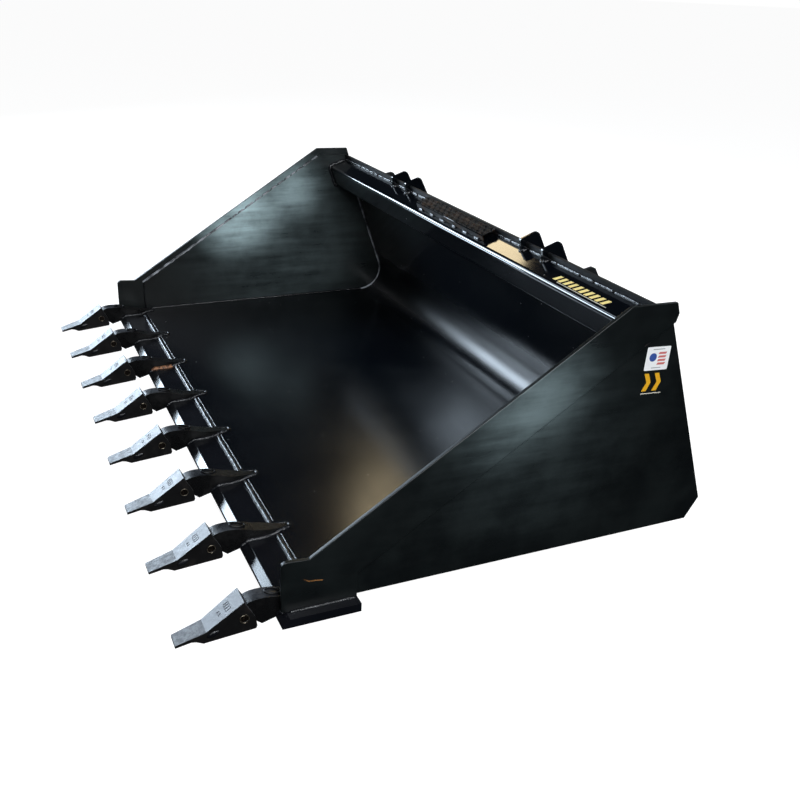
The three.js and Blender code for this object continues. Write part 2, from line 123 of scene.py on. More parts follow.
class Shader:
    """A node material, built with short calls."""

    def __init__(self, name, **settings):
        self.material = bpy.data.materials.new(name)
        self.material.use_nodes = True
        self.tree = self.material.node_tree
        self.surface = self.tree.nodes["Principled BSDF"]
        self.place = self.node("ShaderNodeTexCoord").outputs["Object"]
        for socket, value in settings.items():
            self.surface.inputs[socket.replace("_", " ")].default_value = value

    def node(self, kind, properties=None, **sockets):
        made = self.tree.nodes.new(kind)
        for key, value in (properties or {}).items():
            setattr(made, key, value)
        for socket, value in sockets.items():
            self.set(made, socket.replace("_", " "), value)
        return made

    def set(self, target, socket, value):
        if isinstance(value, bpy.types.NodeSocket):
            self.tree.links.new(value, target.inputs[socket])
        else:
            target.inputs[socket].default_value = value

    def stretched(self, scale, turn=(0, 0, 0)):
        moved = self.node("ShaderNodeMapping", Vector=self.place, Rotation=turn, Scale=scale)
        return moved.outputs["Vector"]

    def noise(self, scale, detail=3, vector=None, rough=0.5):
        sockets = {"Vector": vector or self.place, "Scale": scale, "Detail": detail, "Roughness": rough}
        return self.node("ShaderNodeTexNoise", **sockets).outputs["Fac"]

    def ramp(self, value, low, high, start=0.0, end=1.0):
        """The value from low to high, turned smoothly into start to end."""
        sockets = {"Value": value, "From Min": low, "From Max": high, "To Min": start, "To Max": end}
        made = self.node("ShaderNodeMapRange", {"interpolation_type": "SMOOTHSTEP"}, **sockets)
        return made.outputs["Result"]

    def math(self, kind, first, second):
        made = self.node("ShaderNodeMath", {"operation": kind})
        for index, value in enumerate((first, second)):
            self.set(made, index, value)
        return made.outputs["Value"]

    def add(self, first, second):
        return self.math("ADD", first, second)

    def times(self, first, second):
        return self.math("MULTIPLY", first, second)

    def part_of(self, vector, letter):
        """One component of a vector, by its letter."""
        return self.node("ShaderNodeSeparateXYZ", Vector=vector).outputs[letter]

    def facing(self, letter):
        """One component of the direction that the surface looks in."""
        return self.part_of(self.node("ShaderNodeNewGeometry").outputs["Normal"], letter)

    def mix(self, share, first, second):
        made = self.node("ShaderNodeMix", {"data_type": "RGBA"}, Factor=share)
        sockets = [s for s in made.inputs if s.type == "RGBA"]
        for socket, value in zip(sockets, (first, second)):
            if isinstance(value, bpy.types.NodeSocket):
                self.tree.links.new(value, socket)
            else:
                socket.default_value = (*value, 1)
        return [s for s in made.outputs if s.type == "RGBA"][0]

    def bump(self, height, depth, strength, below=None):
        made = self.node("ShaderNodeBump", Height=height, Distance=depth, Strength=strength)
        if below is not None:
            self.set(made, "Normal", below)
        return made.outputs["Normal"]

    def specks(self, scale, size, share):
        """1 inside small scattered grains, 0 elsewhere."""
        cells = self.node("ShaderNodeTexVoronoi", Vector=self.place, Scale=scale)
        near = self.math("LESS_THAN", cells.outputs["Distance"], size)
        tint = self.node("ShaderNodeSeparateColor", Color=cells.outputs["Color"]).outputs["Red"]
        chosen = self.math("LESS_THAN", tint, share)
        return self.times(near, chosen)

    def pool(self, place, reach, level):
        """A round soft patch: level at its middle, 0 from its reach outwards."""
        away = self.node("ShaderNodeVectorMath", {"operation": "DISTANCE"})
        self.set(away, 0, self.place)
        self.set(away, 1, place)
        return self.ramp(away.outputs["Value"], 0.0, reach, level, 0.0)

    def finish(self, **links):
        for socket, value in links.items():
            self.set(self.surface, socket.replace("_", " "), value)
        return self.material


BEND_END = (0.12, 0.25)  # heights between which the duller paint of the rolled heel ends
RIM_START = (0.5, 0.52)  # heights between which the dull paint of the shell's rim starts


def gloss_paint(name, smooth, dull, index):
    """Glossy black over rolled sheet: orange peel, smudges, dust, and duller in the bend and on the rim."""
    s = Shader(name, IOR=index)
    smudge = s.noise(5, 6, rough=0.62)
    wiped = s.noise(9, 4, s.stretched((0.6, 5, 5)))
    grains = s.specks(34, 0.045, 0.22)
    height = s.part_of(s.place, "Z")
    low_bend = s.ramp(height, GROUND + 0.01, GROUND + 0.05, 0.38)
    bend = s.times(low_bend, s.ramp(height, *BEND_END, 1.0, 0.0))
    wear = s.add(smudge, s.times(wiped, 0.35))
    rough = s.ramp(wear, 0.45, 0.95, smooth, smooth + 0.05)
    rough = s.add(rough, s.times(bend, dull))
    rough = s.add(rough, s.ramp(height, *RIM_START, 0.0, 1.6 * dull))
    rough = s.add(rough, s.times(grains, 0.4))
    color = s.mix(s.ramp(smudge, 0.4, 0.75), (0.0014, 0.0021, 0.0034), (0.0028, 0.0037, 0.005))
    color = s.mix(grains, color, (0.2, 0.2, 0.19))
    waves = s.bump(s.noise(2.2, 1), 0.003, 0.15)
    peel = s.bump(s.noise(420, 2), 0.00004, 0.1, waves)
    normal = s.bump(grains, 0.0005, 0.5, peel)
    return s.finish(Base_Color=color, Roughness=rough, Normal=normal)


SIDE_LEFT = -SIDE_INNER * MM
SIDE_RIGHT = SIDE_OUTER * MM
# Pools of painted light: a painted sheen standing in for soft light and its reflection on the left plate's
# inner face and the right plate's outer face.
PAINTED_LIGHT_PLACES = (  # (place, reach, level) of the pale teal pools of painted light on the two side plates
    ((SIDE_LEFT, -0.02, 0.34), 0.18, 0.5),
    ((SIDE_LEFT, 0.06, 0.375), 0.2, 0.25),
    ((SIDE_LEFT, 0.2, 0.44), 0.15, 0.3),
    ((SIDE_LEFT, 0.16, 0.26), 0.48, 0.06),
    ((SIDE_RIGHT, 0.12, 0.42), 0.16, 0.1),
    ((SIDE_RIGHT, 0.03, 0.36), 0.15, 0.07),
    ((SIDE_RIGHT, 0.1, 0.32), 0.32, 0.02),
)


def plate_paint():
    """Thinner paint over flame-cut side plate: streaks along the mouth, uneven tone, small dings, and pale
    teal pools of painted light (a painted sheen) on the faces that look along +X.
    """
    s = Shader("side_plate_paint", IOR=1.42)
    turn = (atan(MOUTH_SLOPE), 0, 0)
    streaks = s.noise(10, 4, s.stretched((1, 0.4, 4), turn), 0.6)
    haze = s.noise(7, 5, rough=0.6)
    dings = s.specks(21, 0.05, 0.12)
    uneven = s.add(streaks, haze)
    rough = s.ramp(uneven, 0.75, 1.25, 0.27, 0.4)
    color = s.mix(s.ramp(haze, 0.35, 0.7), (0.0035, 0.0045, 0.0048), (0.0075, 0.0098, 0.0098))
    color = s.mix(s.times(dings, 0.7), color, (0.05, 0.05, 0.045))
    # Painted light: pale pools summed from the places above.
    painted_light = 0.0
    for place, reach, level in PAINTED_LIGHT_PLACES:
        painted_light = s.add(s.pool(place, reach, level), painted_light)
    painted_light = s.times(painted_light, s.ramp(uneven, 0.7, 1.3, 0.6, 1.5))
    # The painted light lies only on faces that look along +X, and is mixed in as a pale teal.
    painted_light = s.times(painted_light, s.ramp(s.facing("X"), 0.5, 0.9))
    color = s.mix(painted_light, color, (0.74, 0.97, 1.0))
    waves = s.bump(s.noise(3.4, 2), 0.003, 0.3)
    normal = s.bump(streaks, 0.0004, 0.2, waves)
    return s.finish(Base_Color=color, Roughness=rough, Normal=normal)


def edge_paint():
    """Gloss black over hot-rolled bar: slight mill scale and rubbed patches."""
    s = Shader("edge_bar_paint", IOR=1.52)
    scale = s.noise(60, 5, rough=0.65)
    smudge = s.noise(9, 5, rough=0.6)
    color = s.mix(s.ramp(smudge, 0.45, 0.7), (0.0035, 0.004, 0.0058), (0.006, 0.0066, 0.009))
    rough = s.ramp(s.add(smudge, scale), 0.7, 1.3, 0.19, 0.21)
    return s.finish(Base_Color=color, Roughness=rough)


def weld_paint(name, low, high, rough_low, rough_high):
    """Paint over a weld bead, from its low to its high colour in long patches, with a spattered skin."""
    s = Shader(name, IOR=1.55)
    spots = s.noise(260, 4, rough=0.7)
    patches = s.noise(28, 3)
    color = s.mix(s.ramp(patches, 0.35, 0.65), low, high)
    rough = s.ramp(spots, 0.3, 0.7, rough_low, rough_high)
    normal = s.bump(spots, 0.0009, 1.0)
    return s.finish(Base_Color=color, Roughness=rough, Normal=normal)


def cast_paint():
    """Satin black over sand-cast steel; the noses in front are painted greyer where they look straight up, a
    painted highlight.
    """
    s = Shader("cast_steel_paint", IOR=1.32)
    sand = s.noise(520, 3, rough=0.6)
    lumps = s.noise(95, 3)
    rubbed = s.noise(24, 5, rough=0.65)
    # Painted highlight: grey on the faces of the noses in front that look up.
    nose = s.ramp(s.part_of(s.place, "Y"), FRONT - 0.02, FRONT + 0.01, 1.0, 0.0)
    top = s.times(s.ramp(s.facing("Z"), 0.6, 0.8), nose)
    black = s.mix(s.ramp(rubbed, 0.5, 0.75), (0.004, 0.004, 0.0042), (0.012, 0.0115, 0.0115))
    grey = s.mix(s.ramp(rubbed, 0.4, 0.7), (0.012, 0.013, 0.0155), (0.05, 0.053, 0.06))
    rough = s.ramp(s.add(sand, rubbed), 0.75, 1.3, 0.24, 0.42)
    normal = s.bump(sand, 0.0004, 0.7, s.bump(lumps, 0.0014, 0.6))
    return s.finish(Base_Color=s.mix(top, black, grey), Roughness=rough, Normal=normal)


def tooth_paint():
    """Cast tooth, black: the faces that look up carry a silver-grey painted highlight, darker as painted
    shade on the flatter blade; black on the sides and underneath.
    """
    s = Shader("tooth_cast_steel", IOR=1.5)
    up = s.facing("Z")
    middle = s.ramp(s.math("ABSOLUTE", s.facing("X"), 0.0), 0.45, 0.7, 1.0, 0.0)
    # Painted highlight: faces that look up, and not to the side, get a silver-grey in place of the light they
    # catch.
    top = s.times(s.ramp(up, 0.35, 0.6), middle)
    sand = s.noise(600, 3, rough=0.6)
    worn = s.noise(34, 6, rough=0.7)
    streak = s.noise(60, 3, s.stretched((1, 0.15, 0.15)))
    tone = s.add(s.times(worn, 0.7), s.times(streak, 0.3))
    pale = s.mix(s.ramp(tone, 0.35, 0.65), (0.115, 0.118, 0.126), (0.165, 0.169, 0.178))
    fine = s.noise(90, 5, rough=0.7)
    dull = s.mix(s.ramp(fine, 0.4, 0.62), (0.062, 0.063, 0.068), (0.15, 0.153, 0.162))
    # Painted shade: the flatter blade is darker than the sloping facet, by how the faces turn.
    painted_highlight = s.mix(s.ramp(up, 0.84, 0.9), pale, dull)
    black = s.mix(s.ramp(worn, 0.5, 0.75), (0.004, 0.0038, 0.0038), (0.014, 0.0105, 0.009))
    color = s.mix(top, black, painted_highlight)
    rough = s.ramp(s.add(sand, worn), 0.7, 1.3, 0.36, 0.52)
    metal = s.times(top, 0.15)
    normal = s.bump(sand, 0.00028, 0.6, s.bump(s.noise(110, 3), 0.0008, 0.4))
    return s.finish(Base_Color=color, Roughness=rough, Metallic=metal, Normal=normal)


def spotted_metal(name, metallic, dark, light, span, rough_span):
    """Small steel parts, finely spotted from dark to light over a span of the noise."""
    s = Shader(name, Metallic=metallic)
    spots = s.noise(300, 4, rough=0.7)
    color = s.mix(s.ramp(spots, *span), dark, light)
    rough = s.ramp(spots, 0.3, 0.7, *rough_span)
    return s.finish(Base_Color=color, Roughness=rough, Normal=s.bump(spots, 0.0002, 0.5))


def mark_paint():
    """Dark grey on the cast marks of the teeth."""
    s = Shader("cast_mark_dark", Roughness=0.5)
    spots = s.noise(320, 3)
    color = s.mix(s.ramp(spots, 0.35, 0.65), (0.02, 0.022, 0.028), (0.06, 0.064, 0.075))
    return s.finish(Base_Color=color, Normal=s.bump(spots, 0.0002, 0.5))


def rust():
    """Fresh orange rust over a bead."""
    s = Shader("weld_rust")
    patches = s.noise(120, 5, rough=0.7)
    color = s.mix(s.ramp(patches, 0.38, 0.62), (0.05, 0.026, 0.018), (0.5, 0.23, 0.11))
    rough = s.ramp(patches, 0.3, 0.7, 0.35, 0.7)
    return s.finish(Base_Color=color, Roughness=rough, Normal=s.bump(patches, 0.0006, 0.6))


def step_paint():
    """Black anti-slip paint with rusty patches, duller on the flats and on the front."""
    s = Shader("step_black_rusty", IOR=1.33)
    patches = s.noise(26, 5, rough=0.65)
    fine = s.noise(300, 3)
    color = s.mix(s.ramp(patches, 0.48, 0.7), (0.004, 0.004, 0.0045), (0.05, 0.027, 0.014))
    front = s.ramp(s.facing("Y"), -0.9, -0.7, 1.0, 0.0)
    flat = s.add(s.ramp(s.facing("Z"), 0.86, 0.92), front)
    rough = s.ramp(s.add(patches, fine), 0.75, 1.25, 0.14, 0.3)
    rough = s.add(rough, s.times(flat, 0.42))
    return s.finish(Base_Color=color, Roughness=rough, Normal=s.bump(fine, 0.0003, 0.5))


def print_ink(name, color, darker):
    """Printed film with worn, darker patches."""
    s = Shader(name, Roughness=0.38)
    wear = s.noise(160, 5, rough=0.7)
    return s.finish(Base_Color=s.mix(s.ramp(wear, 0.55, 0.75), color, darker))


GLOSS = gloss_paint("gloss_black_paint", 0.075, 0.33, 1.42)
HOOK = gloss_paint("hook_satin_paint", 0.4, 0.0, 1.52)
RAIL = gloss_paint("rail_gloss_paint", 0.07, 0.0, 1.52)
PLATE = plate_paint()
EDGE = edge_paint()
WELD = weld_paint("weld_black_paint", (0.004, 0.0045, 0.006), (0.014, 0.0145, 0.017), 0.11, 0.24)
# Pale weld colour: a painted highlight, standing in for the glints of light on the heel and strip beads.
GLINT_WELD = weld_paint("weld_painted_glint", (0.05, 0.054, 0.06), (0.42, 0.44, 0.48), 0.14, 0.34)
CAST = cast_paint()
TOOTH = tooth_paint()
BROWN = ((0.006, 0.005, 0.0045), (0.05, 0.034, 0.022))
GOLDEN = ((0.03, 0.022, 0.016), (0.42, 0.36, 0.27))
PIN = spotted_metal("pin_steel_brown", 0.85, *BROWN, (0.4, 0.7), (0.35, 0.55))
BRASS = spotted_metal("pin_ring_brass", 0.9, *GOLDEN, (0.35, 0.65), (0.25, 0.4))
MARK = mark_paint()
RUST = rust()
STEP = step_paint()
LABEL = print_ink("label_white", (0.9, 0.9, 0.89), (0.8, 0.8, 0.79))
LABEL_BLUE = print_ink("label_blue", (0.04, 0.09, 0.32), (0.03, 0.06, 0.2))
LABEL_RED = print_ink("label_red", (0.62, 0.16, 0.14), (0.5, 0.14, 0.12))
LABEL_GREY = print_ink("label_grey", (0.3, 0.3, 0.31), (0.22, 0.22, 0.22))
AMBER = print_ink("decal_amber", (0.82, 0.42, 0.02), (0.6, 0.28, 0.02))
SCRATCH = print_ink("bare_orange_scratch", (0.3, 0.13, 0.04), (0.02, 0.012, 0.008))
PALE_AMBER = print_ink("decal_pale_amber", (0.88, 0.7, 0.26), (0.75, 0.5, 0.12))
CREAM = print_ink("decal_cream", (0.62, 0.58, 0.48), (0.4, 0.37, 0.3))


# ---- mesh helpers ----


def new_object(name, data):
    made = bpy.data.objects.new(name, data)
    scene.collection.objects.link(made)
    return made


def add_mesh(name, vertices, faces, material, slot, smooth=True):
    """A new piece that rides on the bucket's one body."""
    mesh = bpy.data.meshes.new(name)
    mesh.from_pydata([tuple(v) for v in vertices], [], faces)
    mesh.polygons.foreach_set("use_smooth", [smooth] * len(mesh.polygons))
    mesh.materials.append(material)
    mesh.update()
    piece = new_object(name, mesh)
    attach(piece, "root")
    return piece


def rounded_cap(rings, sides):
    """Faces of a dome whose rings of vertices are followed by its tip."""
    return bands(rings, sides) + fan((rings - 1) * sides, rings * sides, sides)


def flat_piece(name, parts, material, slot):
    add_mesh(name, *joined(parts), material, slot, smooth=False)


def turns(sides, start=0.0):
    """Angles of evenly spread places round a circle, in radians."""
    return [2 * pi * (corner + start) / sides for corner in range(sides)]


def band(low, high, sides):
    """Faces between two rings of vertices that start at low and at high."""
    afters = [(corner + 1) % sides for corner in range(sides)]
    return [(low + corner, low + after, high + after, high + corner) for corner, after in enumerate(afters)]


def bands(rings, sides):
    """Faces between all neighbours in a row of rings, the first of which starts at 0."""
    return [face for level in range(rings - 1) for face in band(level * sides, (level + 1) * sides, sides)]


def closed_band(sides):
    """Faces of a solid between two rings of vertices, the first of which starts at 0."""
    return [tuple(reversed(range(sides))), tuple(range(sides, 2 * sides)), *band(0, sides, sides)]


def fan(start, tip, sides):
    """Triangles between the ring of vertices that starts at start and one tip."""
    return [(start + corner, start + (corner + 1) % sides, tip) for corner in range(sides)]


def joined(parts):
    """One mesh out of several, each given as (vertices, faces)."""
    vertices, faces = [], []
    for more, sides in parts:
        base = len(vertices)
        vertices.extend(more)
        faces.extend(tuple(base + corner for corner in face) for face in sides)
    return vertices, faces


def smooth_group(name, degrees):
    """Geometry nodes that shade everything smooth but for edges sharper than an angle."""
    group = bpy.data.node_groups.new(name, "GeometryNodeTree")
    for way in ("INPUT", "OUTPUT"):
        group.interface.new_socket("Geometry", in_out=way, socket_type="NodeSocketGeometry")
    start = group.nodes.new("NodeGroupInput")
    faces = group.nodes.new("GeometryNodeSetShadeSmooth")
    edges = group.nodes.new("GeometryNodeSetShadeSmooth")
    edges.domain = "EDGE"
    angle = group.nodes.new("GeometryNodeInputMeshEdgeAngle")
    sharp = group.nodes.new("FunctionNodeCompare")
    sharp.operation = "GREATER_THAN"
    sharp.inputs["B"].default_value = radians(degrees)
    end = group.nodes.new("NodeGroupOutput")
    link = group.links.new
    link(start.outputs[0], faces.inputs["Geometry"])
    link(faces.outputs["Geometry"], edges.inputs["Geometry"])
    link(angle.outputs["Unsigned Angle"], sharp.inputs["A"])
    link(sharp.outputs["Result"], edges.inputs["Selection"])
    edges.inputs["Shade Smooth"].default_value = False
    link(edges.outputs["Geometry"], end.inputs[0])
    return group


SHARP_ANGLE = 32  # degrees between two faces, above which their edge is rounded and shaded sharp
SMOOTH = smooth_group("shade_by_angle", SHARP_ANGLE)
CRISP = smooth_group("shade_by_small_angle", 12)


def soften(piece, radius, segments, shading):
    """Rounds the sharp edges by a radius in millimetres, with modifiers that leave the mesh itself alone."""
    weld = piece.modifiers.new("weld", "WELD")
    weld.merge_threshold = 0.02 * MM
    flat = piece.modifiers.new("flat", "DECIMATE")
    flat.decimate_type = "DISSOLVE"
    flat.angle_limit = radians(0.6)
    bevel = piece.modifiers.new("round", "BEVEL")
    bevel.width = radius * MM
    bevel.segments = segments
    bevel.limit_method = "ANGLE"
    bevel.angle_limit = radians(SHARP_ANGLE)
    bevel.miter_outer = "MITER_ARC"
    shade = piece.modifiers.new("shade", "NODES")
    shade.node_group = shading
    normals = piece.modifiers.new("normals", "WEIGHTED_NORMAL")
    normals.mode = "FACE_AREA"
    normals.weight = 60
    normals.keep_sharp = True


def dress(names, material, radius, segments=2, shading=SMOOTH):
    """Gives CAD nodes their material and softens their edges."""
    for name in names:
        piece = nodes[name]
        piece.data.materials.clear()
        piece.data.materials.append(material)
        soften(piece, radius, segments, shading)


# ---- weld beads ----

BEAD_SIDES = 10
BEAD_STEP = 1.6  # between two rings
BEAD_PITCH = 5.0  # between two ripples
TAPER_LENGTH = 4.0  # of the thinner stretch at each end


def resample(points, crowns, step):
    """The same path at even steps, with the crown direction turning evenly between its points."""
    places, ups, distances = [], [], []
    travelled = 0.0
    for index in range(len(points) - 1):
        first, second = points[index], points[index + 1]
        length = (second - first).length
        count = max(1, round(length / step))
        for turn in range(count):
            share = turn / count
            places.append(first.lerp(second, share))
            ups.append(crowns[index].lerp(crowns[index + 1], share).normalized())
            distances.append(travelled + share * length)
        travelled += length
    places.append(points[-1])
    ups.append(crowns[-1].normalized())
    distances.append(travelled)
    return places, ups, distances


def bead_rings(points, crowns, half_width, height, rng):
    """Vertices and faces of one rippled bead along a path: an oval rope with tapered, closed ends."""
    if isinstance(crowns, Vector):
        crowns = [crowns] * len(points)
    places, ups, distances = resample(points, crowns, BEAD_STEP * MM)
    shift = rng.uniform(0, 50)
    vertices = []
    for index, (place, up, gone) in enumerate(zip(places, ups, distances)):
        ahead = places[min(index + 1, len(places) - 1)] - places[max(index - 1, 0)]
        ahead.normalize()
        side = ahead.cross(up).normalized()
        crown = side.cross(ahead).normalized()
        end = min(gone, distances[-1] - gone) / (TAPER_LENGTH * MM)
        taper = 0.45 + 0.55 * min(1.0, max(0.0, end)) ** 0.5
        wander = noise.noise(Vector((gone * 45, shift, 0)))
        swell = 1 + 0.22 * noise.noise(Vector((gone * 70, shift + 9, 3)))
        for angle in turns(BEAD_SIDES):
            lag = 0.4 * abs(cos(angle))
            phase = (gone / (BEAD_PITCH * MM) + lag + 0.5 * wander) % 1.0
            ripple = 0.86 + 0.26 * phase
            out = side * cos(angle) * half_width * MM * (0.5 + 0.5 * ripple)
            out += crown * sin(angle) * height * MM * ripple
            out += side * wander * 0.9 * MM
            vertices.append(place + out * taper * swell)
    last = (len(places) - 1) * BEAD_SIDES
    ends = [tuple(reversed(range(BEAD_SIDES))), tuple(range(last, last + BEAD_SIDES))]
    return vertices, bands(len(places), BEAD_SIDES) + ends


def welds(name, runs, seed, material=WELD, slot="gloss_black"):
    """One piece holding several beads. A run is (points, crown or crowns, half width, height)."""
    rng = random.Random(seed)
    return add_mesh(name, *joined([bead_rings(*run, rng) for run in runs]), material, slot)


def stitches(ends, rng, shortest, longest, gap, crown, half_width, height):
    """The runs of a straight bead that is broken into dashes of uneven length."""
    start, whole = ends[0], ends[1] - ends[0]
    length = whole.length / MM
    place, runs = 0.0, []
    while place < length - shortest / 2:
        stop = min(length, place + rng.uniform(shortest, longest))
        dash = [start + whole * (place / length), start + whole * (stop / length)]
        runs.append((dash, crown, half_width, height))
        place = stop + rng.uniform(0.6, 1.4) * gap
    return runs


# ---- CAD pieces that keep their shape ----

SIDES = ((-1, "left"), (1, "right"))


def numbered(name, count):
    return [f"{name}_{index + 1}" for index in range(count)]


dress(["bucket_shell"], GLOSS, 0.8)
dress(["cutting_edge"], EDGE, 0.8)
dress(["top_rail"], RAIL, 0.8)
dress(["attach_hook"], HOOK, 1.0)
for _, label in SIDES:
    dress([f"side_plate_{label}"], PLATE, 1.0)
    dress([f"side_cutter_{label}"], PLATE, 1.6, 3)
    dress([f"attach_face_{label}", f"attach_end_{label}", f"attach_lip_{label}"], GLOSS, 1.2)
    dress(numbered(f"lip_gusset_{label}", 2), GLOSS, 1.2)
dress(numbered("skid_bar", len(SKID_PLACES)), EDGE, 1.5)
dress(numbered("rail_ear", len(EAR_PLACES)), RAIL, 1.4, 3)
dress(numbered("tooth_adapter", len(TOOTH_PLACES)), CAST, 1.4, 3)
dress(numbered("tooth", len(TOOTH_PLACES)), TOOTH, 0.8, 2, CRISP)
dress(numbered("tooth_pin", len(TOOTH_PLACES)), PIN, 0.4)

# ---- beads along the cutting edge and round the adapters ----

EDGE_CROWN = Vector((0, -0.5, 0.87))
RUSTY_ADAPTER = 2  # counted from the left, starting at 0
ADAPTER_GAP = 21  # from the middle of an adapter to the bead between it and the next one
ADAPTER_FOOT = (  # (along, up, out from the middle) of the bead on one side of an adapter, to its tail
    (-5, -12, 19), (3, -6, 19.5), (13, 0, 20), (48, 0, 20), (66, 1, 16.5), (80, 5, 14.5),
    (92, 6.4, 12), (103, 6.4, 9.5), (109, 6.4, 5),
)


def adapter_bead(across, rng):
    """Up the bevel, along one side of the adapter, round its tail and back down the other side."""
    right = [at(across + out, along, up) for along, up, out in ADAPTER_FOOT]
    left = [at(across - out, along, up) for along, up, out in reversed(ADAPTER_FOOT)]
    outward = [Vector((1, -0.1, 1.1))] * (len(right) - 2) + [Vector((0.7, 0.7, 1.2)), Vector((0.2, 1, 1.2))]
    inward = [Vector((-c.x, c.y, c.z)) for c in reversed(outward)]
    return (right + left, outward + inward, 4.6 + rng.uniform(-0.3, 0.4), 4.3)


for index, across in enumerate(TOOTH_PLACES):
    bead = adapter_bead(across, random.Random(40 + index))
    welds(f"weld_adapter_{index + 1}", [bead], 50 + index, slot="cast_black")
    if index == RUSTY_ADAPTER:
        patch = (bead[0][1:5], bead[1][1:5], 7.0, 5.6)
        welds("weld_rust_patch", [patch], 49, RUST, "cast_black")

gap_runs = []
for first, second in zip(TOOTH_PLACES, TOOTH_PLACES[1:]):
    low, high = first + ADAPTER_GAP, second - ADAPTER_GAP
    ends = [at(low, SHELL_FRONT - 5, 1), at(high, SHELL_FRONT - 5, 1)]
    gap_runs.append((ends, EDGE_CROWN, 5.6, 5.2))
    thin = [at(low + 3, SHELL_FRONT + 3, 5.6), at(high - 3, SHELL_FRONT + 3, 5.6)]
    gap_runs.append((thin, Vector((0, 0.2, 1)), 2.2, 1.8))
welds("weld_floor_front", gap_runs, 11)

# ---- beads inside the bucket ----

HEEL_STEPS = 26
HEEL_TURN = 110  # degrees from the floor sheet to the back
STRIP_SPAN = (84, 712)  # places along the side where the bead of the doubler strip starts and ends
SOLID_SHARE = 0.46  # of that bead, before it breaks up into stitches


def corner_bead(side):
    """Side plate to sheet: along the floor, round the heel and up the back to the rail."""
    across = side * (SIDE_INNER - 0.5)
    inward = sideways(-side)
    points = [at(across, PLATE_FRONT + 2, SHEET), at(across, HEEL[0], SHEET)]
    crowns = [Vector((-side, 0, 1)), Vector((-side, 0, 1))]
    for step in range(1, HEEL_STEPS + 1):
        angle = radians(-90 + HEEL_TURN * step / HEEL_STEPS)
        out = Vector((0, cos(angle), sin(angle)))
        points.append(at(across, *HEEL) + out * HEEL_INNER * MM)
        crowns.append(inward - out)
    points.append(on_rail(across, RAIL_DEPTH, -RAIL_HEIGHT))
    crowns.append(inward - RAIL_ALONG)
    return points, crowns


def strip_bead(side, rng):
    """The mouth edge of the side plate welded to the inner face of its doubler strip, in uneven stitches."""
    start, end = [at(side * (STRIP_INNER - 2), along, mouth(along, PLATE_INSET)) for along in STRIP_SPAN]
    crown = (sideways(-side) + MOUTH_UP).normalized()
    solid = start.lerp(end, SOLID_SHARE)
    return [([start, solid], crown, 5.2, 4.4), *stitches([solid, end], rng, 14, 42, 5, crown, 4.6, 4.0)]


def rail_end_bead(side):
    """Round the end of the rail, against the side plate."""
    across = side * (SIDE_INNER - 1)
    outline = [(60, -RAIL_HEIGHT), (2, -RAIL_HEIGHT), (-1, 3 - RAIL_HEIGHT)]
    outline += [(-1, -12), (1, -4), (5, 0.5), (12, 1), (RAIL_DEPTH, 1)]
    points = [on_rail(across, along, up) for along, up in outline]
    outs = [-RAIL_UP, -RAIL_UP, -RAIL_ALONG, -RAIL_ALONG, RAIL_UP - RAIL_ALONG, RAIL_UP, RAIL_UP, RAIL_UP]
    crowns = [out + sideways(-side) for out in outs]
    return points, crowns


for side, label in SIDES:
    rng = random.Random(70 + side)
    points, crowns = corner_bead(side)
    floor_run = (points[:2], crowns[:2], 3.6, 3.2)
    heel_run = (points[1:], crowns[1:], 3.8, 3.4)
    front = at(side * (SIDE_INNER - 1), PLATE_FRONT - 1, 8)
    top = at(side * (SIDE_INNER - 1), PLATE_FRONT - 1, mouth(PLATE_FRONT, PLATE_INSET))
    upright = ([front, top], Vector((-side, -1, 0)), 2.6, 2.2)
    rail_points, rail_crowns = rail_end_bead(side)
    rail_run = (rail_points, rail_crowns, 5.4, 4.6)
    welds(f"weld_corner_{label}", [floor_run, upright, rail_run], 80 + side)
    # The heel and strip beads take the pale weld colour, a painted highlight for their glints.
    welds(f"weld_heel_{label}", [heel_run], 84 + side, GLINT_WELD)
    welds(f"weld_strip_{label}", strip_bead(side, rng), 90 + side, GLINT_WELD)
    foot_x = side * (STRIP_OUTER + 1)
    foot = ([at(foot_x, 16, 0), at(foot_x, 150, 0)], Vector((side, 0, 1)), 3.0, 2.4)
    nose_x = side * STRIP_INNER
    nose = ([at(nose_x, -1, 2), at(side * STRIP_OUTER, 4, -1)], Vector((0, -1, 0.6)), 5.0, 4.4)
    welds(f"weld_foot_{label}", [foot, nose], 100 + side)

# ---- beads on the rail: back joint, ears and step ----

RAIL_SPAN = 878  # from the middle to the end of the bead between rail and back
EAR_BEAD = (49, 50, 66)  # places along the rail of an ear's front bead and of its side beads' ends
STEP_STITCHES = 6
STITCH_PITCH = 68
STITCH_START = 30 - STEP_HALF


def level_line(low, high, along, up):
    """The two ends of a straight line across the bucket, given on the rail."""
    return [on_rail(low, along, up), on_rail(high, along, up)]


rng = random.Random(7)
line = level_line(-RAIL_SPAN, RAIL_SPAN, RAIL_DEPTH - 1, 1)
welds("weld_rail_back", stitches(line, rng, 30, 110, 2.5, RAIL_UP - RAIL_ALONG, 4.2, 3.6), 8)

ear_runs = []
for across in EAR_PLACES:
    for side in (-1, 1):
        foot = [on_rail(across + side * (EAR_HALF + 1), along, 0.5) for along in EAR_BEAD[1:]]
        ear_runs.append((foot, RAIL_UP + sideways(side), 5.5, 5.0))
    front = level_line(across - EAR_HALF, across + EAR_HALF, EAR_BEAD[0], 0.5)
    ear_runs.append((front, RAIL_UP - RAIL_ALONG, 4.5, 4.5))
welds("weld_ears", ear_runs, 21)

rng = random.Random(33)
step_runs = []
for place in range(STEP_STITCHES):
    middle = STITCH_START + place * STITCH_PITCH + rng.uniform(-6, 6)
    half = rng.uniform(9, 15)
    ends = level_line(middle - half, middle + half, STEP_FRONT - 2, 1)
    step_runs.append((ends, RAIL_UP - RAIL_ALONG, 4.6, 3.6))
welds("weld_step", step_runs, 34)

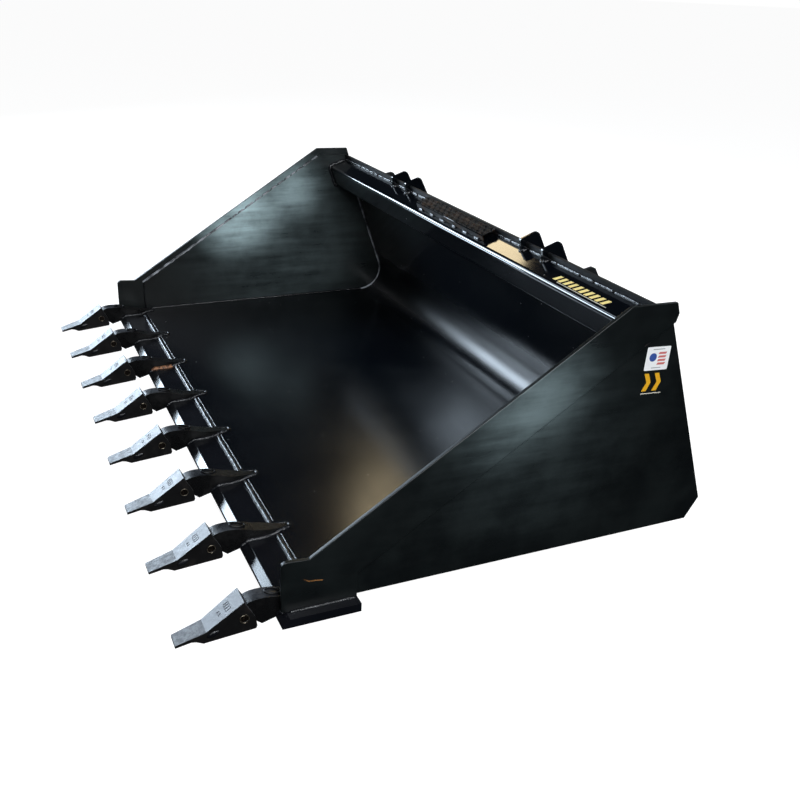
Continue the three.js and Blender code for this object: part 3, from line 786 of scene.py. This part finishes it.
# ---- beads on the back and underneath ----

HOOK_SPANS = ((-558, -449), (-431, -349), (-331, 331), (349, 431), (449, 558))  # between the ears
FACE_FOOT = -400  # lowest height, on the rail, of the beads along the face plates
FACE_EDGES = ((ATTACH_OPENING, -1, -26), (ATTACH_HALF, 1, -126))  # (across, way it looks, upper end)
END_PLATE = (ATTACH_HALF + 11, -116, 4)  # across and the two heights of the end plates' beads
LIP_SPAN = (206, 556)
BRACE_PLACES = (250, 520)
BRACE_HALF = 6
BRACE_REACH = 131
EAR_SLOPE = ((80, 1.5), (113, -31.5))  # ends of the beads on the ears' rear feet
SKID_HALF = 39
SKID_SPAN = (312, 868)
EDGE_SPAN = 880


rng = random.Random(61)
hook_runs = []
for low, high in HOOK_SPANS:
    line = level_line(low, high, BACK_OUTER + 1, 7.5)
    hook_runs += stitches(line, rng, 60, 150, 6, RAIL_ALONG + RAIL_UP * 1.6, 5.0, 4.4)
welds("weld_hook_top", hook_runs, 62)

for side, label in SIDES:
    rng = random.Random(64 + side)
    edges = []
    for across, way, top in FACE_EDGES:
        line = [on_rail(side * across, BACK_OUTER + 1, up) for up in (FACE_FOOT, top)]
        edges += stitches(line, rng, 70, 130, 14, RAIL_ALONG + sideways(side * way), 5.2, 4.6)
    foot = [on_rail(side * END_PLATE[0], BACK_OUTER + 1, up) for up in END_PLATE[1:]]
    edges.append((foot, RAIL_ALONG + sideways(side), 5.0, 4.4))
    welds(f"weld_attach_face_{label}", edges, 66 + side)
    line = [on_rail(side * across, HEEL_BACK + 1, LIP_UNDER - 1) for across in LIP_SPAN]
    lip_runs = stitches(line, rng, 90, 160, 8, RAIL_ALONG - RAIL_UP, 4.8, 4.2)
    for across in BRACE_PLACES:
        for turn in (-1, 1):
            beside = side * across + turn * BRACE_HALF
            brace = [on_rail(beside, along, LIP_UNDER - 1) for along in (HEEL_BACK + 4, BRACE_REACH)]
            lip_runs.append((brace, sideways(turn) - RAIL_UP, 4.0, 3.6))
    welds(f"weld_lip_{label}", lip_runs, 70 + side)

ear_feet = []
for across in EAR_PLACES:
    for turn in (-1, 1):
        slope = [on_rail(across + turn * (EAR_HALF + 1), along, up) for along, up in EAR_SLOPE]
        ear_feet.append((slope, RAIL_ALONG + RAIL_UP + sideways(turn * 1.4), 4.4, 4.0))
welds("weld_ear_feet", ear_feet, 72)

skid_runs = []
for across in SKID_PLACES:
    for turn in (-1, 1):
        line = [at(across + turn * SKID_HALF, along, -1) for along in SKID_SPAN]
        skid_runs += stitches(line, rng, 70, 120, 60, Vector((turn, 0, -1)), 4.6, 4.0)
welds("weld_skid_bars", skid_runs, 73)
line = [at(across, EDGE_REAR + 1, -1) for across in (-EDGE_SPAN, EDGE_SPAN)]
welds("weld_edge_rear", stitches(line, rng, 120, 220, 70, Vector((0, 1, -1)), 5.0, 4.4), 74)

# ---- step: sheet channel with open crowns and solid buttons ----

STEP_ROWS = 3
STEP_COLUMNS = 28
STEP_LIFT = 16  # height of the sheet above the rail
STEP_SHEET = 2.4
CELL_SIDES = 12
ROD_SIDES = 12
CROWN = ((6.3, 0.0), (5.3, 2.6), (4.5, 2.8), (4.1, 0.6))  # (radius, height) from the sheet to the open middle
BUTTON = ((3.6, 0.0), (2.7, 1.6), (1.3, 2.1), (0.0, 2.2))  # the same for the solid buttons
CELL_CORNERS = ((-1, -1, 7), (1, -1, 10), (1, 1, 1), (-1, 1, 4))  # (right, back, first place next to it)


def rod(start, end, crown, radius):
    """A plain round bar between two points, closed at both ends."""
    ahead = (end - start).normalized()
    side = ahead.cross(crown).normalized()
    vertices = []
    for place in (start, end):
        for angle in turns(ROD_SIDES):
            vertices.append(place + (side * cos(angle) + crown * sin(angle)) * radius * MM)
    return vertices, closed_band(ROD_SIDES)


def pressed_cell(middle, across, size, rings):
    """Vertices and faces of one cell of the step's sheet: its square edge, its rings and its corners."""
    top = STEP_LIFT - 0.2
    angles = turns(CELL_SIDES, 0.5)
    spots = []  # (right, back, up) from the middle of the cell
    for angle in angles:
        reach = 0.5 / max(abs(cos(angle)), abs(sin(angle)))
        spots.append((size[0] * reach * cos(angle), size[1] * reach * sin(angle), 0))
    for radius, height in rings:
        spots += [(radius * cos(angle), radius * sin(angle), height) for angle in angles]
    vertices = [on_rail(middle + right, across + back, top + up) for right, back, up in spots]
    faces = bands(len(rings) + 1, CELL_SIDES)
    for right, back, start in CELL_CORNERS:
        vertices.append(on_rail(middle + right * size[0] / 2, across + back * size[1] / 2, top))
        faces.append((start, len(vertices) - 1, start + 1))
    return vertices, faces


def step_flange(along, order):
    """The sheet folded down to the rail along one long side of the step."""
    ends = [(x, up) for x in (-STEP_HALF, STEP_HALF) for up in (STEP_LIFT - 0.2, 1)]
    return [on_rail(x, along, up) for x, up in ends], [order]


def step_piece():
    """The whole step: a thin sheet of pressed cells with a flange in front and one behind."""
    size = (2 * STEP_HALF / STEP_COLUMNS, (STEP_REAR - STEP_FRONT) / STEP_ROWS)
    parts = []
    for column in range(STEP_COLUMNS):
        for row in range(STEP_ROWS):
            middle = -STEP_HALF + (column + 0.5) * size[0]
            across = STEP_FRONT + (row + 0.5) * size[1]
            parts.append(pressed_cell(middle, across, size, CROWN if (column + row) % 2 else BUTTON))
    parts.append(step_flange(STEP_FRONT, (1, 3, 2, 0)))
    parts.append(step_flange(STEP_REAR, (0, 2, 3, 1)))
    piece = add_mesh("step_tread", *joined(parts), STEP, "step_paint")
    merge = piece.modifiers.new("merge", "WELD")
    merge.merge_threshold = 0.05 * MM
    sheet = piece.modifiers.new("sheet", "SOLIDIFY")
    sheet.thickness = STEP_SHEET * MM
    sheet.offset = -1
    shade = piece.modifiers.new("shade", "NODES")
    shade.node_group = SMOOTH
    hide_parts("step_plate")


step_piece()
lip_ends = level_line(-STEP_HALF, STEP_HALF, STEP_FRONT + 0.7, STEP_LIFT - 0.9)
add_mesh("step_front_lip", *rod(*lip_ends, RAIL_UP, 1.5), RAIL, "step_paint")

# ---- label and printed marks ----


def slab(outline, centre, first, second, out, lift, thickness):
    """A thin closed patch with the outline's points (mm along first and second), lying on a surface."""
    vertices = [
        centre + (first * x + second * y + out * height) * MM
        for height in (lift, lift + thickness)
        for x, y in outline
    ]
    return vertices, closed_band(len(outline))


def rounded(width, height, radius, steps=4, middle=(0, 0)):
    """Outline of a rectangle with round corners."""
    points = []
    for quarter, (right, up) in enumerate(((1, -1), (1, 1), (-1, 1), (-1, -1))):
        for step in range(steps + 1):
            angle = radians(90 * (quarter - 1) + 90 * step / steps)
            points.append((
                middle[0] + right * (width / 2 - radius) + radius * cos(angle),
                middle[1] + up * (height / 2 - radius) + radius * sin(angle),
            ))
    return points


def slanted(start, width, height, lean, base):
    """Outline of a bar between two level lines, leaning to the right."""
    top = base + height
    return [(start, base), (start + width, base), (start + width + lean, top), (start + lean, top)]


SIDE_MIDDLE = (801, 408.5)  # middle of the white label on the right side plate
LABEL_TILT = radians(-3)
LABEL_ALONG = Vector((0, cos(LABEL_TILT), sin(LABEL_TILT)))
LABEL_UP = Vector((0, -sin(LABEL_TILT), cos(LABEL_TILT)))
# A face to print on: its middle, its two axes and the way it looks.
SIDE_FACE = (at(SIDE_OUTER, *SIDE_MIDDLE), LABEL_ALONG, LABEL_UP, OUTWARD)
RAIL_FACE = (on_rail(0, 0, 0), OUTWARD, RAIL_ALONG, RAIL_UP)


def prints(name, outlines, material, face, lift=0.05, thickness=0.2):
    parts = [slab(outline, *face, lift, thickness) for outline in outlines]
    flat_piece(name, parts, material, "gloss_black")


# ---- teeth: cast marks and pin rings ----

TOOTH_CREASE = (-138.5, -13.5)
TOOTH_LIP = (-67.3, 37.3)
LUG_PLACE = (-126, -20)
LUG_SIZE = (13, 6, 3.5)  # half length, half height and how far it stands out
LUG_SUNK = 0.6  # how far its foot lies inside the tooth
LUG_SLOPE = 0.3
LUG_RINGS = 4
LUG_SIDES = 20
TIP_PLACE = -195.5
TIP_HALF = 18
TIP_GROWTH = 7 / 128.2
RING_STEPS = 28
RING_SIDES = 8
PIN_RING = (8.6, 0.9)  # radius and wire radius of the ring round a pin's end
PLUG_RING = (11.5, 2.0)  # the same for the cast plug on top of an adapter
PLUG_PLACE = (-6, 31.2)
PLUG_OUT = Vector((0, 0.17, 0.985)).normalized()
FACET = (Vector((0, *TOOTH_LIP)) - Vector((0, *TOOTH_CREASE))).normalized()
FACET_OUT = Vector((0, -FACET.z, FACET.y))
MARK_HEIGHT = 0.7


def bar(centre, along, across, length, width):
    """A small raised bar with sloping flanks, lying on the tooth's upper facet."""
    vertices = []
    for level, shrink in ((-0.3, 1.0), (MARK_HEIGHT * 0.6, 0.92), (MARK_HEIGHT, 0.68)):
        for turn, slide in ((-1, -1), (1, -1), (1, 1), (-1, 1)):
            corner = along * turn * length * shrink / 2 + across * slide * width * shrink / 2
            vertices.append(centre + (corner + FACET_OUT * level) * MM)
    return vertices, [(3, 2, 1, 0), (8, 9, 10, 11), *bands(3, 4)]


def on_facet(across, along):
    """A point on the tooth's upper facet: to the side, and up the slope from the crease."""
    spot = Vector((0, *TOOTH_CREASE)) + FACET * along
    return at(across, spot.y, spot.z)


def cast_marks(index, middle):
    """A plain framed block and two dashes, standing for the foundry's own marks."""
    bars = []
    for along in (49, 61):
        bars.append(bar(on_facet(middle, along), OUTWARD, FACET, 20, 1.3))
    for across in (-10, -4, 3, 10):
        bars.append(bar(on_facet(middle + across, 55), FACET, OUTWARD, 11, 1.3))
    for across in (-4, 4):
        bars.append(bar(on_facet(middle + across, 36), FACET, OUTWARD, 6, 1.6))
        bars.append(bar(on_facet(middle + across, 33), OUTWARD, FACET, 5, 1.3))
    flat_piece(f"tooth_mark_{index + 1}", bars, MARK, "tooth_steel")


def ring(name, centre, axis, radius, tube, material, slot, squeeze=(1.0, 1.0)):
    """A round wire ring about an axis, squeezed into an oval where asked."""
    first = axis.orthogonal().normalized() if abs(axis.x) > 0.9 else OUTWARD
    second = axis.cross(first).normalized()
    vertices, faces = [], []
    for turn, angle in enumerate(turns(RING_STEPS)):
        spoke = first * cos(angle) * squeeze[0] + second * sin(angle) * squeeze[1]
        out = (first * cos(angle) + second * sin(angle)).normalized()
        for swing in turns(RING_SIDES):
            offset = spoke * radius + (out * cos(swing) + axis * sin(swing)) * tube
            vertices.append(centre + offset * MM)
        over = (turn + 1) % RING_STEPS * RING_SIDES
        for low, after, high_after, high in band(turn * RING_SIDES, over, RING_SIDES):
            faces.append((low, high, high_after, after))
    add_mesh(name, vertices, faces, material, slot)


def tooth_half(along):
    """Half of the tooth's width, which grows from its tip to the back of its body."""
    return TIP_HALF + TIP_GROWTH * (along - TIP_PLACE)


def side_lug(index, middle):
    """Low rounded lugs on both sides of the tooth, where the blade joins the body."""
    place, height = LUG_PLACE
    reach, rise, proud = LUG_SIZE
    parts = []
    for side in (-1, 1):
        vertices = []
        for level in range(LUG_RINGS):
            tilt = pi / 2 * level / LUG_RINGS
            for turn in turns(LUG_SIDES):
                along = place + reach * cos(tilt) * cos(turn)
                up = height + rise * cos(tilt) * sin(turn) + LUG_SLOPE * (along - place)
                out = tooth_half(along) - LUG_SUNK + proud * sin(tilt)
                vertices.append(at(middle + side * out, along, up))
        vertices.append(at(middle + side * (tooth_half(place) - LUG_SUNK + proud), place, height))
        faces = rounded_cap(LUG_RINGS, LUG_SIDES) + [tuple(reversed(range(LUG_SIDES)))]
        parts.append((vertices, faces if side < 0 else [tuple(reversed(face)) for face in faces]))
    add_mesh(f"tooth_lug_{index + 1}", *joined(parts), WELD, "tooth_steel")


for index, middle in enumerate(TOOTH_PLACES):
    cast_marks(index, middle)
    for side, label in SIDES:
        centre = at(middle + side * tooth_half(PIN_PLACE[0]), *PIN_PLACE)
        ring(f"pin_ring_{index + 1}_{label}", centre, sideways(side), *PIN_RING, BRASS, "pin_steel")
    plug = at(middle, *PLUG_PLACE)
    ring(f"adapter_plug_{index + 1}", plug, PLUG_OUT, *PLUG_RING, CAST, "cast_black", (0.85, 1.4))
    side_lug(index, middle)

# ---- prints on the side and the rail ----

ON_LABEL = 0.26  # height of the prints that lie on the white label
CHEVRON = [(0, -71), (11, -71), (20, -51.5), (11, -32), (0, -32), (9, -51.5)]
BAR_START = 534
BAR_PITCH = 20.5
BAR_COUNT = 10
SCRATCH_OUTLINE = [(-17, 4.6), (-5, -1), (7, -1.4), (21, -4), (20, -6), (6, -3.6), (-7, -2.4)]
STRIP_FACE = (at(STRIP_OUTER, 61, 61), Vector((0, 1, 0)), Vector((0, 0, 1)), OUTWARD)

prints("label_sheet", [rounded(59, 51, 2.5)], LABEL, SIDE_FACE)
prints("label_disc", [rounded(18, 18, 8.9, 8, (-12, 3))], LABEL_BLUE, SIDE_FACE, ON_LABEL)
stripes = [slanted(0, 19, 4.6, 2.5, base) for base in (9, 1.4, -6.2, -13.8)]
prints("label_waves", stripes, LABEL_RED, SIDE_FACE, ON_LABEL)
lines = [rounded(30, 1.6, 0.7, 3, (0, 20)), rounded(24, 1.4, 0.6, 3, (0, -20))]
prints("label_lines", lines, LABEL_GREY, SIDE_FACE, ON_LABEL)
prints("amber_chevrons", [[(x + shift, y) for x, y in CHEVRON] for shift in (-25, 1)], AMBER, SIDE_FACE)
prints("amber_underline", [rounded(53, 2.2, 1.0, 3, (0, -76.5))], CREAM, SIDE_FACE)
bars = [slanted(BAR_START + BAR_PITCH * index, 12, 19, 8, 18) for index in range(BAR_COUNT)]
prints("amber_bars", bars, PALE_AMBER, RAIL_FACE)
prints("strip_scratch", [SCRATCH_OUTLINE], SCRATCH, STRIP_FACE, 0.02, 0.12)
prints("cream_stripe", [rounded(190, 1.8, 0.8, 3, (652, 14.5))], CREAM, RAIL_FACE)

# ---- floor, backdrop, light and camera ----


def disc(radius, sides=96):
    edge = [(radius * cos(turn), radius * sin(turn), 0) for turn in turns(sides)]
    return edge, [tuple(range(sides))]


def dome(radius, rings=16, sides=48):
    vertices = []
    for level in range(rings):
        tilt = pi / 2 * level / rings
        reach, height = radius * cos(tilt), radius * sin(tilt)
        vertices += [(reach * cos(turn), reach * sin(turn), height) for turn in turns(sides)]
    vertices.append((0, 0, radius))
    return vertices, rounded_cap(rings, sides)


def backdrop_material(name, glow, diffuse):
    """A pale surface that glows evenly, to look nearly white from all sides."""
    grey, white = (diffuse, diffuse, diffuse, 1), (1, 1, 1, 1)
    s = Shader(name, Base_Color=grey, Emission_Color=white, Emission_Strength=glow)
    return s.finish(Roughness=1.0, Specular_IOR_Level=0.0)


def stage_piece(name, vertices, faces, material):
    """A piece that only the camera sees: it lights, shades and reflects in nothing."""
    mesh = bpy.data.meshes.new(name)
    mesh.from_pydata(vertices, [], faces)
    mesh.materials.append(material)
    piece = new_object(name, mesh)
    piece.visible_glossy = False
    piece.visible_diffuse = False
    piece.visible_shadow = False


BACKDROP_REACH = 90
stage_piece("floor", *disc(BACKDROP_REACH), backdrop_material("floor_white", 0.96, 0.3))
stage_piece("backdrop", *dome(BACKDROP_REACH), backdrop_material("backdrop_white", 1.0, 0.0))

world = bpy.data.worlds.new("studio")
world.use_nodes = True
world.node_tree.nodes["Background"].inputs["Color"].default_value = (0.012, 0.014, 0.018, 1)
scene.world = world

AIM = Vector((0, 0, 0.25))  # what the softboxes face


def panel(name, place, target, width, height, radiance, color, spread=180):
    """A rectangular lamp at a place (m), facing a target, with an even brightness over its area."""
    lamp = bpy.data.lights.new(name, "AREA")
    lamp.shape = "RECTANGLE"
    lamp.size = width
    lamp.size_y = height
    lamp.energy = radiance * pi * width * height
    lamp.color = color
    lamp.spread = radians(spread)
    holder = new_object(name, lamp)
    holder.visible_camera = False
    facing = (Vector(target) - Vector(place)).to_track_quat("-Z", "Y").to_matrix().to_4x4()
    holder.matrix_world = Matrix.Translation(place) @ facing
    return holder


def softbox(name, azimuth, elevation, distance, width, height, radiance, color):
    """A panel seen from the bucket at an azimuth (from +X towards +Y) and elevation in degrees."""
    turn, tilt = radians(azimuth), radians(elevation)
    away = Vector((cos(turn) * cos(tilt), sin(turn) * cos(tilt), sin(tilt)))
    return panel(name, AIM + away * distance, AIM, width, height, radiance, color)


COOL = (0.72, 0.86, 1.0)
WHITE = (0.92, 0.96, 1.0)
WARM = (1.0, 0.82, 0.52)

# name, azimuth, elevation, distance, width, height, radiance, colour
softbox("front_left_box", -148, 16.8, 5.0, 2.9, 1.2, 26, COOL)
panel("high_left_box", (-2.5, -1.15, 1.9), (0.3, -0.5, 0.1), 0.7, 1.8, 6, COOL)
panel("heel_low_box", (-0.77, -0.19, 0.31), (0.15, 0.54, 0.1), 0.5, 0.2, 4.6, COOL, 60)
softbox("rear_box", 100, 20, 4.5, 2.6, 1.2, 12, WHITE)
softbox("near_high_box", 42, 56, 4.0, 1.0, 0.7, 12, WHITE)
softbox("front_fill_box", -8, 30, 3.8, 1.9, 1.5, 12.5, WHITE)
warm = panel("warm_far_box", (-1.33, 0.8, 1.42), (0.42, 0.15, 0.25), 0.28, 0.42, 5.4, WARM)
warm.data.shape = "ELLIPSE"

CAMERA_PLACE = (2.2874, -0.8554, 1.1313)
CAMERA_TURN = 64.569  # degrees about the vertical, from looking along +Y
CAMERA_TILT = 65.793  # degrees up from looking straight down
CAMERA_ROLL = 2.681
LENS = 42.51
SENSOR = 36

camera = bpy.data.cameras.new("camera")
camera.lens = LENS
camera.sensor_width = SENSOR
camera.clip_end = 500
camera_holder = new_object("camera", camera)
facing = Matrix.Rotation(radians(CAMERA_TURN), 4, "Z")
facing @= Matrix.Rotation(radians(CAMERA_TILT), 4, "X")
facing @= Matrix.Rotation(radians(CAMERA_ROLL), 4, "Z")
camera_holder.matrix_world = Matrix.Translation(CAMERA_PLACE) @ facing
scene.camera = camera_holder

scene.view_settings.view_transform = "Standard"
scene.view_settings.look = "None"
